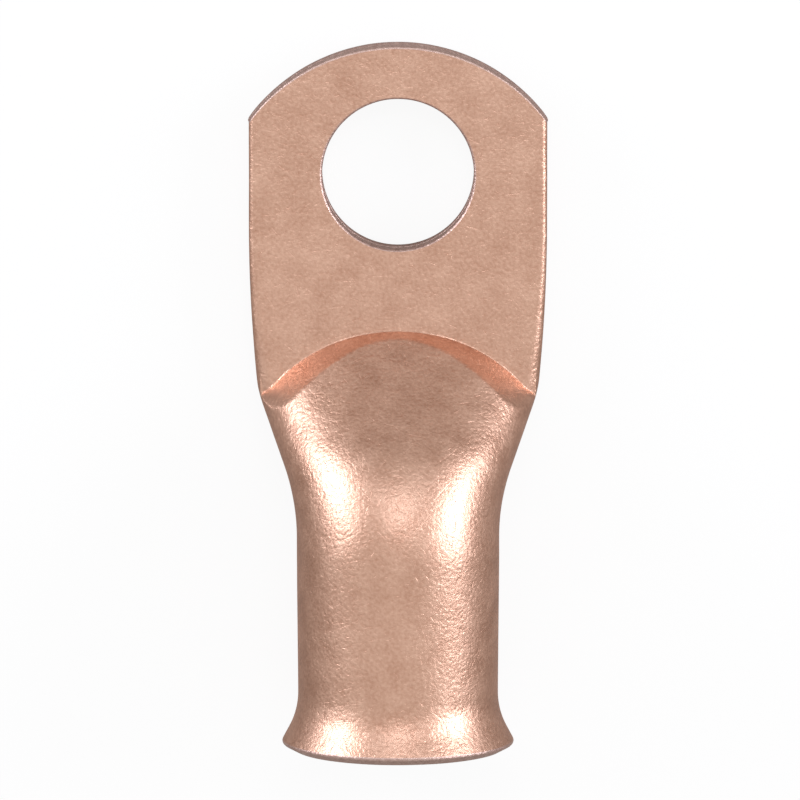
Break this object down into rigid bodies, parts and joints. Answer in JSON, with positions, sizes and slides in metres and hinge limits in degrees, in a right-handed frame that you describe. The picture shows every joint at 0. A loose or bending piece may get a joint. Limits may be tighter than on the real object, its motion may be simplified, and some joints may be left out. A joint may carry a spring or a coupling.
{
  "type": "copper cable lug",
  "caption": "Copper tube lug with a belled mouth for a heavy cable and a flat, round-tipped palm with one stud hole.",
  "frame": {"origin": "centre of the stud hole on the palm's back face, the face that bolts down", "axes": "+Z along the stud hole, away from the face that bolts down; +Y along the barrel, from its mouth to the tip of the palm; +X across the palm"},
  "size_m": [0.0256, 0.06, 0.02],
  "materials": {
    "copper": "bare copper, satin, tumbled"
  },
  "bodies": {
    "root": {"cable_lug": "copper"}
  },
  "joints": []
}
